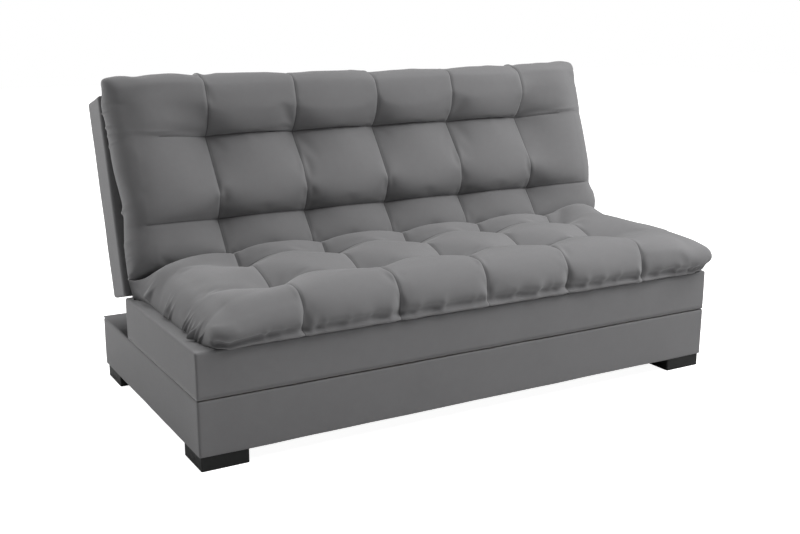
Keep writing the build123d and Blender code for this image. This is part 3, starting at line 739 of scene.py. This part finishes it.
BACK = Tufted(
    "back_mattress",
    crease=[(0.024, 0.004), (0.05, 0.056), (0.078, 0.094)],
    top=[(0.106, 0.114), (0.15, 0.123), (0.25, 0.122), (0.36, 0.117), (0.47, 0.111), (0.59, 0.101)],
    edge=[
        (0.0, 0.101), (0.035, 0.096), (0.064, 0.083), (0.084, 0.062), (0.089, 0.042),
        (0.084, 0.026), (0.07, 0.013), (0.05, 0.005), (0.03, 0.002),
    ],
    roll_x=0.82,
    left=[
        (0.0, 1.0), (0.03, 0.94), (0.058, 0.8), (0.075, 0.6),
        (0.081, 0.42), (0.081, 0.26), (0.078, 0.12), (0.074, 0.03),
    ],
    right=[
        (0.0, 1.0), (0.03, 0.95), (0.06, 0.82), (0.078, 0.64),
        (0.084, 0.46), (0.08, 0.3), (0.072, 0.14), (0.064, 0.03),
    ],
    rows=(0.203, 0.471),
    place=back_point,
    on_board=PIVOT,
    out_of_board=OUT_OF_BACK,
    depths=(0.028, 0.009, 0.026),
    corners=(1.0, 0.8),
    lumps=[],
    waists=[(-1, 0.27, 0.09, -0.017), (-1, 0.6, 0.06, 0.008), (1, 0.15, 0.045, 0.031)],
    dip=0.009,
    pinch=(
        PINCH_RISE * UP_SLOPE.z - PINCH_REACH * UP_SLOPE.y,
        PINCH_RISE * OUT_OF_BACK.z - PINCH_REACH * OUT_OF_BACK.y,
    ),
    end_drops=(0.004, 0.004),
    lean=0.72,
    sag=0.042,
    row_hold=0.5,
    slack=0.015,
    hem=0.0,
    tabs=(0.013, 0.003, 0.003, 0.005, 0.012),
    calm=(20, 40, 0.045),
    row_ends=(0.87, 0.79),
    row_fades=(0.5, 0.85),
    gathers=[(0.15, 0.03, 5), (0.25, 0.025, 4), (0.54, 0.04, 4)],
    pucker=0.004,
    seed=8,
)


# Points of the sheet between its stops, along the width and away from the crease
WIDTH_COUNTS = [22, 22, 32, 32, 32, 32, 22, 22]
LENGTH_COUNTS = [12, 14, 36, 26, 24]


def pad_sheet(pad):
    """The pad's top sheet as a flat grid, with the place of each of its points on the cloth."""
    p_stops = [-pad.half_width, -pad.roll_x, *SEAMS, pad.roll_x, pad.half_width]
    p_lines = spaced(p_stops, WIDTH_COUNTS)
    q_stops = [0.0, pad.crease_mark, *pad.row_marks, pad.section_length, pad.length]
    q_lines = spaced(q_stops, LENGTH_COUNTS)
    bm = bmesh.new()
    bmesh.ops.create_grid(bm, x_segments=len(p_lines) - 1, y_segments=len(q_lines) - 1, size=0.5)
    spots = np.array([vert.co for vert in bm.verts])
    p = p_lines[np.rint((spots[:, 0] + 0.5) * (len(p_lines) - 1)).astype(int)]
    q = q_lines[np.rint((spots[:, 1] + 0.5) * (len(q_lines) - 1)).astype(int)]
    return bm, p, q


def step(values, low, high):
    """Rises smoothly from 0 at one value to 1 at another."""
    u = np.clip((values - low) / (high - low), 0, 1)
    return u * u * (3 - 2 * u)


def bell(values, middle, width):
    """A smooth bump around a middle."""
    return np.exp(-(((values - middle) / width) ** 2))


# The pinched tip, where it starts and ends along the cloth and how the end runs out to it, and the dipped edge
PINCH_FROM = 0.3
PINCH_PAST = 0.1
PINCH_CURVE = 0.8
DIP_SPAN = (0.68, 0.86)
DIP_BEFORE = 0.1
DIP_AFTER = 0.05


def pad_shape(pad, p, q):
    """Where the sheet lies before it is tufted and filled, in the pad's own axes."""
    along = np.linspace(0, pad.section_length, len(pad.section))
    inner = np.minimum(q, pad.section_length)
    t = np.interp(inner, along, pad.section[:, 0])
    h = np.interp(inner, along, pad.section[:, 1])
    near_end = np.clip((np.abs(p) - END_START) / (pad.roll_x - END_START), 0, 1)
    past_crease = np.clip(q / pad.crease_mark, 0, 1)
    h = h - np.where(p < 0, *pad.end_drops) * near_end**2 * past_crease
    for p_middle, p_reach, t_middle, t_reach, rise in pad.lumps:
        h = h + rise * bell(p, p_middle, p_reach) * bell(t, t_middle, t_reach) * past_crease
    over = np.clip((q - pad.section_length) / pad.edge_length, 0, 1)
    aside = np.clip((np.abs(p) - pad.roll_x) / pad.side_length, 0, 1)
    fall = np.maximum(over, aside)
    ratio = np.minimum(over, aside) / np.maximum(fall, 1e-6)
    turn = np.where(aside >= over, ratio * pi / 4, pi / 2 - ratio * pi / 4)
    steps = np.linspace(0, 1, ROLL_POINTS)
    edge_out, edge_h = (np.interp(fall, steps, pad.edge_run[:, i]) for i in (0, 1))
    left_out, left_h = (np.interp(fall, steps, pad.left_run[:, i]) for i in (0, 1))
    right_out, right_h = (np.interp(fall, steps, pad.right_run[:, i]) for i in (0, 1))
    side_out = np.where(p < 0, left_out, right_out)
    side_h = np.where(p < 0, left_h, right_h) / pad.rise
    front_share = np.sin(turn) ** 2
    pinch = 1 - step(q, PINCH_FROM * pad.crease_mark, pad.crease_mark + PINCH_PAST)
    side_out = side_out * (1 - pinch) + (PINCH_X - pad.roll_x) * fall**PINCH_CURVE * pinch
    out = edge_out * front_share + side_out * (1 - front_share)
    out = out / np.maximum(np.cos(turn), np.sin(turn)) ** np.where(p < 0, *pad.corners)
    drop_h = h * (edge_h / pad.rise * front_share + side_h * (1 - front_share))
    height = np.where(fall > 0, drop_h, h)
    height = height + pinch * pad.pinch[1] * (1 - side_h) * (aside > 0)
    for side, middle, width, amount in pad.waists:
        out = out + amount * fall * bell(t, middle, width) * (side * p > 0)
    x = np.sign(p) * (np.minimum(np.abs(p), pad.roll_x) + out * np.cos(turn) * (aside > 0))
    reach = t + out * np.sin(turn) * (over > 0)
    reach = reach + pinch * (pad.pinch[0] - t) * (1 - side_h) * (aside > 0)
    near_top = step(q, pad.section_length - DIP_BEFORE, pad.section_length + DIP_AFTER)
    reach = reach - pad.dip * step(-p, *DIP_SPAN) * near_top
    return x, reach, height


def cell_wave(values, marks, low, high, lean):
    """0 on each seam and 1 on the crown of each cell, with the crown moved towards the cell's lower end."""
    wave = np.ones_like(values)
    for a, b in zip(marks, marks[1:]):
        here = (values >= a) & (values <= b)
        wave[here] = np.sin(((values[here] - a) / (b - a)) ** lean * pi)
    before = values < marks[0]
    after = values > marks[-1]
    reach = 0.5 * (marks[1] - marks[0])
    run_in = np.clip((marks[0] - values[before]) / min(reach, marks[0] - low), 0, 1)
    run_out = np.clip((values[after] - marks[-1]) / min(reach, high - marks[-1]), 0, 1)
    wave[before] = np.sin(run_in * pi / 2)
    wave[after] = np.sin(run_out**lean * pi / 2)
    return wave


def mesh_array(mesh, name):
    """Positions or normals of a mesh's vertices as an array."""
    values = np.empty(3 * len(mesh.vertices))
    mesh.vertices.foreach_get(name, values)
    return values.reshape(-1, 3)


def set_points(mesh, points):
    """Moves a mesh's vertices."""
    mesh.vertices.foreach_set("co", np.ascontiguousarray(points, dtype=np.float32).ravel())
    mesh.update()


def border_gap(pad, p, q):
    """Distance along the cloth to the pad's border, and to its free border only."""
    free = np.minimum(pad.length - q, pad.half_width - np.abs(p))
    return np.minimum(q, free), free


# Sewing: sharpness of the column valleys, where rows fade, where columns ease over the roll and near a border
VALLEY_SHARP = 1.2
ROW_FADE_SPAN = (0.6, 0.8)
ROLL_EASE = 0.85
ROLL_SPAN = 0.06
BORDER_SOFT = 0.07


def sew(pad, mesh, p, q):
    """Draws the sheet down at its tufts and along its seams."""
    across = cell_wave(p, SEAMS, -pad.half_width, pad.half_width, 1.0)
    along = cell_wave(q, pad.row_marks, 0.0, pad.length, pad.lean)
    valley_x = (1 - across) ** VALLEY_SHARP
    valley_q = 1 - along
    fade = 1 - np.where(q < sum(pad.row_marks) / 2, *pad.row_fades) * step(np.abs(p), *ROW_FADE_SPAN)
    over_roll = 1 - ROLL_EASE * step(q, pad.section_length - ROLL_SPAN, pad.section_length + ROLL_SPAN)
    border, _ = border_gap(pad, p, q)
    soft = np.clip(border / BORDER_SOFT, 0, 1) * np.clip(q / pad.crease_mark, 0, 1)
    depth = pad.tuft_depth * valley_x * valley_q + pad.row_depth * valley_q * fade
    depth += pad.column_depth * valley_x * over_roll
    spots = mesh_array(mesh, "co") - mesh_array(mesh, "normal") * (depth * soft)[:, None]
    set_points(mesh, spots)


# Filling: frames of the cloth simulation, its pressure and the furthest that a point may move
FILL_FRAMES = 20
FILL_PRESSURE = 4.0
FILL_CAP = 0.03


def fill_with_air(piece, held, slack):
    """Blows the sheet up as cloth held at its seams and border, and returns where its points end."""
    group = piece.vertex_groups.new(name="held")
    for weight in np.unique(held[held > 0]):
        group.add(np.nonzero(held == weight)[0].tolist(), float(weight), "REPLACE")
    cloth = piece.modifiers.new("cloth", "CLOTH")
    settings = cloth.settings
    settings.quality = 6
    settings.mass = 0.25
    settings.air_damping = 2.0
    settings.tension_stiffness = 30.0
    settings.compression_stiffness = 20.0
    settings.shear_stiffness = 12.0
    settings.bending_stiffness = 2.0
    settings.tension_damping = 8.0
    settings.compression_damping = 8.0
    settings.shear_damping = 8.0
    settings.vertex_group_mass = "held"
    settings.use_pressure = True
    settings.uniform_pressure_force = FILL_PRESSURE
    settings.shrink_min = -slack
    settings.effector_weights.gravity = 0
    cloth.point_cache.frame_start = 1
    cloth.point_cache.frame_end = FILL_FRAMES
    for moment in range(1, FILL_FRAMES + 1):
        scene.frame_set(moment)
    filled = piece.evaluated_get(bpy.context.evaluated_depsgraph_get()).to_mesh()
    points = mesh_array(filled, "co")
    piece.modifiers.remove(cloth)
    piece.vertex_groups.remove(group)
    scene.frame_set(1)
    return points


def seam_gap(pad, p, q):
    """Distances along the cloth to the nearest column seam and to the nearest row seam."""
    column = np.min([np.abs(p - seam) for seam in SEAMS], axis=0)
    row = np.min([np.abs(q - mark) for mark in pad.row_marks], axis=0)
    return column, row


def wander(values, waves, rng):
    """A smooth random line along the cloth, about -1 to 1."""
    line = np.zeros_like(values)
    for length in waves:
        line += np.sin(2 * pi * values / length * rng.uniform(0.85, 1.15) + rng.uniform(0, 2 * pi))
    return line / len(waves)


# Fine folds, in metres along the cloth: stitched grooves, folds along the hem, folds at the ends and the sag.
# A band is the distance of its middle from the border and its reach
GROOVE_WIDTH = 0.0045
GROOVE_DEPTH = 0.0024
GROOVE_FADE = 0.05
GROOVE_BORDER = 0.03
FRONT_BLEND = 0.03
HEM_WAVES = (0.075, 0.11, 0.19)
HEM_WAVE_HEIGHT = 0.0035
HEM_WAVE_BAND = (0.05, 0.03)
HEM_FOLDS = 40
HEM_FOLD_BAND = (0.045, 0.02)
HEM_STEPS = (0.035, 0.11)
HEM_HEIGHTS = (0.002, 0.007)
HEM_WIDTHS = (0.006, 0.013)
HEM_SLANT = 0.25
TAB_WIDTH = 0.012
TAB_BAND = (0.06, 0.035)
DRAWN_BAND = (0.04, 0.014)
LIP_SHARE = 0.3
LIP_BAND = (0.021, 0.007)
LIP_END = (0.55, 0.7)
PUCKER_SHARES = (0.4, 1)
PUCKER_WIDTHS = (0.003, 0.006)
PUCKER_LENGTHS = (0.03, 0.055)
PUCKER_SLANTS = (-0.3, 0.1)
PUCKER_MIDDLE = 0.012
PUCKER_START = (0.0, 0.01)
CREASE_CALM = 0.4
SAG_END = 0.04
SAG_EASE = (0.04, 0.2)
SAG_AT_SEAM = 0.7
SAG_SEAM_REACH = 0.08


def hem_shift(pad, p, free, rng):
    """Folds along the front hem, the tabs where column seams meet it and the drawn-in hem itself."""
    folds = wander(p, HEM_WAVES, rng) * bell(free, *HEM_WAVE_BAND) * HEM_WAVE_HEIGHT
    places = np.cumsum(rng.uniform(*HEM_STEPS, HEM_FOLDS)) - pad.roll_x
    heights = rng.uniform(*HEM_HEIGHTS, HEM_FOLDS)
    widths = rng.uniform(*HEM_WIDTHS, HEM_FOLDS)
    for place, height, width in zip(places, heights, widths):
        slanted = p + rng.uniform(-HEM_SLANT, HEM_SLANT) * free
        folds += bell(slanted, place, width) * bell(free, *HEM_FOLD_BAND) * height
    tab = sum(height * bell(p, seam, TAB_WIDTH) for seam, height in zip(SEAMS, pad.tabs))
    tab = tab * bell(free, *TAB_BAND)
    lip = LIP_SHARE * bell(free, *LIP_BAND) * (1 - step(p, *LIP_END))
    drawn = pad.hem * (bell(free, *DRAWN_BAND) - lip)
    return folds + tab - drawn


def end_shift(pad, q, free, rng):
    """Groups of fine folds where the ends are gathered."""
    folds = np.zeros_like(q)
    for middle, spread, count in pad.gathers:
        for place in rng.normal(middle, spread, count):
            height = rng.uniform(*PUCKER_SHARES) * pad.pucker
            width = rng.uniform(*PUCKER_WIDTHS)
            length = rng.uniform(*PUCKER_LENGTHS)
            line = bell(q + rng.uniform(*PUCKER_SLANTS) * free, place, width)
            folds += line * height * bell(free, PUCKER_MIDDLE, length) * step(free, *PUCKER_START)
    return folds


def hanging(pad, p, q, column):
    """How far each point hangs down the slope, most in the middle of its cell."""
    stops = [pad.crease_mark * 0.5, *pad.row_marks, pad.section_length + SAG_END]
    droop = np.zeros_like(q)
    for low, high in zip(stops, stops[1:]):
        here = (q > low) & (q < high)
        droop[here] = np.sin((q[here] - low) / (high - low) * pi) * (high - low) / (stops[2] - stops[1])
    at_end = step(pad.half_width - np.abs(p), *SAG_EASE)
    ease = at_end * (SAG_AT_SEAM + (1 - SAG_AT_SEAM) * step(column, 0, SAG_SEAM_REACH))
    return pad.sag * droop * ease


def gather(pad, mesh):
    """Gives the filled sheet its stitched grooves, its folds at the hem and the ends, and its sag."""
    rng = np.random.default_rng(pad.seed)
    sheet = np.empty(3 * len(mesh.vertices), dtype=np.float32)
    mesh.attributes["sheet"].data.foreach_get("vector", sheet)
    p, q, _ = sheet.reshape(-1, 3).astype(float).T
    column, row = seam_gap(pad, p, q)
    _, free = border_gap(pad, p, q)
    front = step(pad.half_width - np.abs(p) - (pad.length - q), -FRONT_BLEND, FRONT_BLEND)
    row_end = np.where(q < sum(pad.row_marks) / 2, *pad.row_ends)
    sewn_row = bell(row, 0, GROOVE_WIDTH) * (1 - step(np.abs(p), row_end - GROOVE_FADE, row_end))
    groove = GROOVE_DEPTH * np.maximum(bell(column, 0, GROOVE_WIDTH), sewn_row)
    hem_folds = hem_shift(pad, p, free, rng)
    end_folds = end_shift(pad, q, free, rng)
    shift = end_folds * (1 - front) + hem_folds * front
    shift *= np.clip(q / pad.crease_mark - CREASE_CALM, 0, 1)
    shift -= groove * np.clip(free / GROOVE_BORDER, 0, 1)
    moved = mesh_array(mesh, "co") + mesh_array(mesh, "normal") * shift[:, None]
    moved -= np.array(UP_SLOPE) * hanging(pad, p, q, column)[:, None]
    set_points(mesh, moved)


# The underside lies just off the board and is tucked in towards the ends
UNDER_GAP = 0.0022
UNDER_TUCK = 0.012
TUCK_SPAN = (0.75, 0.83)


def close_underside(pad, mesh):
    """Turns the hem under, down to the board the pad lies on, and closes the flat underside."""
    bm = bmesh.new()
    bm.from_mesh(mesh)
    hem = [edge for edge in bm.edges if edge.is_boundary]
    turned = bmesh.ops.extrude_edge_only(bm, edges=hem)["geom"]
    under = [item for item in turned if isinstance(item, bmesh.types.BMVert)]
    for vert in under:
        vert.co -= pad.out_of_board * ((vert.co - pad.on_board).dot(pad.out_of_board) - UNDER_GAP)
        vert.co.x -= np.sign(vert.co.x) * UNDER_TUCK * float(step(abs(vert.co.x), *TUCK_SPAN))
    bmesh.ops.holes_fill(bm, edges=[edge for edge in bm.edges if edge.is_boundary], sides=0)
    bmesh.ops.recalc_face_normals(bm, faces=bm.faces)
    bm.to_mesh(mesh)
    bm.free()


def relax(mesh, rounds, chosen):
    """Evens out the creases that the filling left, at the chosen points."""
    bm = bmesh.new()
    bm.from_mesh(mesh)
    inner = [vert for vert, wanted in zip(bm.verts, chosen) if wanted and not vert.is_boundary]
    for _ in range(rounds):
        bmesh.ops.smooth_vert(bm, verts=inner, factor=0.5, use_axis_x=True, use_axis_y=True, use_axis_z=True)
    bm.to_mesh(mesh)
    bm.free()


# What is held while a pad is filled, and where its filling is evened out, in metres along the cloth
BORDER_HELD = 0.012
CREASE_HELD = 0.8
TUFT_HELD = 0.009
ROW_HELD = 0.002
ROW_BORDER = 0.08
END_CALM = 0.8
END_BEFORE = 0.04
END_AFTER = 0.05
RELAX_ROUNDS = 3
SEAM_CLEAR = 0.008
END_OVER = 0.02
CREASE_CLEAR = 0.05
ROW_CLEAR = 0.03


def tufted_pad(pad, material, nodes):
    """Builds one tufted pad: sheet, seams, filling, fine folds and the flat underside."""
    bm, p, q = pad_sheet(pad)
    for vert, spot in zip(bm.verts, pad.place(*pad_shape(pad, p, q))):
        vert.co = spot
    mesh = bpy.data.meshes.new(pad.name)
    bmesh.ops.recalc_face_normals(bm, faces=bm.faces)
    if sum(face.normal.z for face in bm.faces) < 0:
        bmesh.ops.reverse_faces(bm, faces=bm.faces)
    bm.to_mesh(mesh)
    bm.free()
    sew(pad, mesh, p, q)
    sheet = mesh.attributes.new("sheet", "FLOAT_VECTOR", "POINT")
    sheet.data.foreach_set("vector", np.stack([p, q, 0 * p], axis=1).astype(np.float32).ravel())
    piece = bpy.data.objects.new(pad.name, mesh)
    scene.collection.objects.link(piece)
    border, _ = border_gap(pad, p, q)
    column, row = seam_gap(pad, p, q)
    held = np.where((border < BORDER_HELD) | (q < CREASE_HELD * pad.crease_mark), 1.0, 0.0)
    held[np.hypot(column, row) < TUFT_HELD] = 1.0
    held[(row < ROW_HELD) & (border > ROW_BORDER) & (held == 0)] = pad.row_hold
    sewn = mesh_array(mesh, "co")
    move = fill_with_air(piece, held, pad.slack) - sewn
    move *= 1 - END_CALM * step(np.abs(p), pad.roll_x - END_BEFORE, pad.roll_x + END_AFTER)[:, None]
    size = np.linalg.norm(move, axis=1, keepdims=True)
    set_points(mesh, sewn + move * np.minimum(1, FILL_CAP / np.maximum(size, 1e-9)))
    relax(mesh, RELAX_ROUNDS, np.ones_like(p))
    end_rounds, corner_rounds, over_roll = pad.calm
    outward = np.abs(p) - SEAMS[-1] - SEAM_CLEAR
    end_cells = (outward > 0) & (np.abs(p) < pad.roll_x + END_OVER) & (q < pad.section_length)
    relax(mesh, end_rounds, end_cells & (q > pad.crease_mark + CREASE_CLEAR))
    corners = (outward > 0) & (np.abs(p) < pad.roll_x + over_roll) & (q < pad.section_length + over_roll)
    relax(mesh, corner_rounds, corners & (q > pad.row_marks[1] + ROW_CLEAR))
    smooth = piece.modifiers.new("smooth", "SUBSURF")
    smooth.levels = 1
    smooth.render_levels = 1
    fine = bpy.data.meshes.new_from_object(piece.evaluated_get(bpy.context.evaluated_depsgraph_get()))
    piece.modifiers.remove(smooth)
    piece.data = fine
    bpy.data.meshes.remove(mesh)
    fine.name = pad.name
    gather(pad, fine)
    close_underside(pad, fine)
    fine.materials.clear()
    fine.materials.append(material)
    fine.shade_smooth()
    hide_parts(*nodes)
    return piece


SEAT_SUEDE = suede("seat_suede", GREY, SEAT.row_marks, SEAT.row_ends)
BACK_SUEDE = suede("back_suede", GREY, BACK.row_marks, BACK.row_ends)
seat_pad = tufted_pad(SEAT, SEAT_SUEDE, ["seat_pad"])
back_pad = tufted_pad(BACK, BACK_SUEDE, ["back_pad"])

# Both pads have their placement baked into their own points
for pad_piece in (seat_pad, back_pad):
    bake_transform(pad_piece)

# Floor, light and camera. Floor and backdrop are white to the camera alone, so they light the sofa less
FLOOR_SIZE = 14.0
FLOOR_TONE = (0.65, 0.65, 0.65, 1)
FLOOR_GLOW = 0.95
WHITE = (1, 1, 1, 1)
FILL_LIGHT = 0.12
bm = bmesh.new()
bmesh.ops.create_grid(bm, x_segments=2, y_segments=2, size=FLOOR_SIZE)
floor_mesh = bpy.data.meshes.new("studio_floor")
bm.to_mesh(floor_mesh)
bm.free()
floor = bpy.data.objects.new("studio_floor", floor_mesh)
scene.collection.objects.link(floor)
floor_finish, floor_tree, floor_shader = blank_material("studio_floor")
floor_shader.inputs["Base Color"].default_value = FLOOR_TONE
floor_shader.inputs["Roughness"].default_value = 0.9
floor_shader.inputs["Emission Color"].default_value = WHITE
floor_seen = floor_tree.nodes.new("ShaderNodeLightPath").outputs["Is Camera Ray"]
floor_glow = math_node(floor_tree, "MULTIPLY", floor_seen, FLOOR_GLOW)
wire(floor_tree, floor_glow, floor_shader.inputs["Emission Strength"])
floor_mesh.materials.append(floor_finish)

world = bpy.data.worlds.new("studio")
scene.world = world
world.use_nodes = True
sky = world.node_tree.nodes["Background"]
sky.inputs["Color"].default_value = WHITE
seen = world.node_tree.nodes.new("ShaderNodeLightPath").outputs["Is Camera Ray"]
wire(world.node_tree, ramp(world.node_tree, seen, 0.0, 1.0, FILL_LIGHT, 1.0), sky.inputs["Strength"])


def hung_light(name, kind, power, along):
    """A light that shines along a direction; returns its object and its data."""
    lamp = bpy.data.lights.new(name, kind)
    lamp.energy = power
    light = bpy.data.objects.new(name, lamp)
    light.rotation_euler = along.to_track_quat("-Z", "Y").to_euler()
    scene.collection.objects.link(light)
    return light, lamp


def soft_light(name, place, aim, size, power):
    """A large square light at one place, turned towards another."""
    light, lamp = hung_light(name, "AREA", power, Vector(aim) - Vector(place))
    light.location = place
    lamp.size = size


_, overhead = hung_light("overhead", "SUN", 2.7, Vector((-0.52, 0.0, -1)))
overhead.angle = radians(58)
soft_light("key", place=(1.7, -1.5, 2.5), aim=(0, 0.1, 0.55), size=1.3, power=67)
soft_light("left", place=(-2.6, 1.9, 1.6), aim=(-0.9, 0.1, 0.4), size=1.6, power=57)

scene.view_settings.view_transform = "Standard"
CAMERA_X = -1.7543
CAMERA_BEFORE_SEAT = 2.5474
CAMERA_HEIGHT = 1.1998
CAMERA_DOWN = 13.586
CAMERA_TURN = 29.8665
lens = bpy.data.cameras.new("photo_camera")
lens.sensor_fit = "HORIZONTAL"
lens.sensor_width = 36.0
lens.lens = 48.4
camera = bpy.data.objects.new("photo_camera", lens)
camera.location = (CAMERA_X, SEAT_LOW.y - CAMERA_BEFORE_SEAT, CAMERA_HEIGHT)
camera.rotation_euler = (radians(90 - CAMERA_DOWN), 0, radians(-CAMERA_TURN))
scene.collection.objects.link(camera)
scene.camera = camera
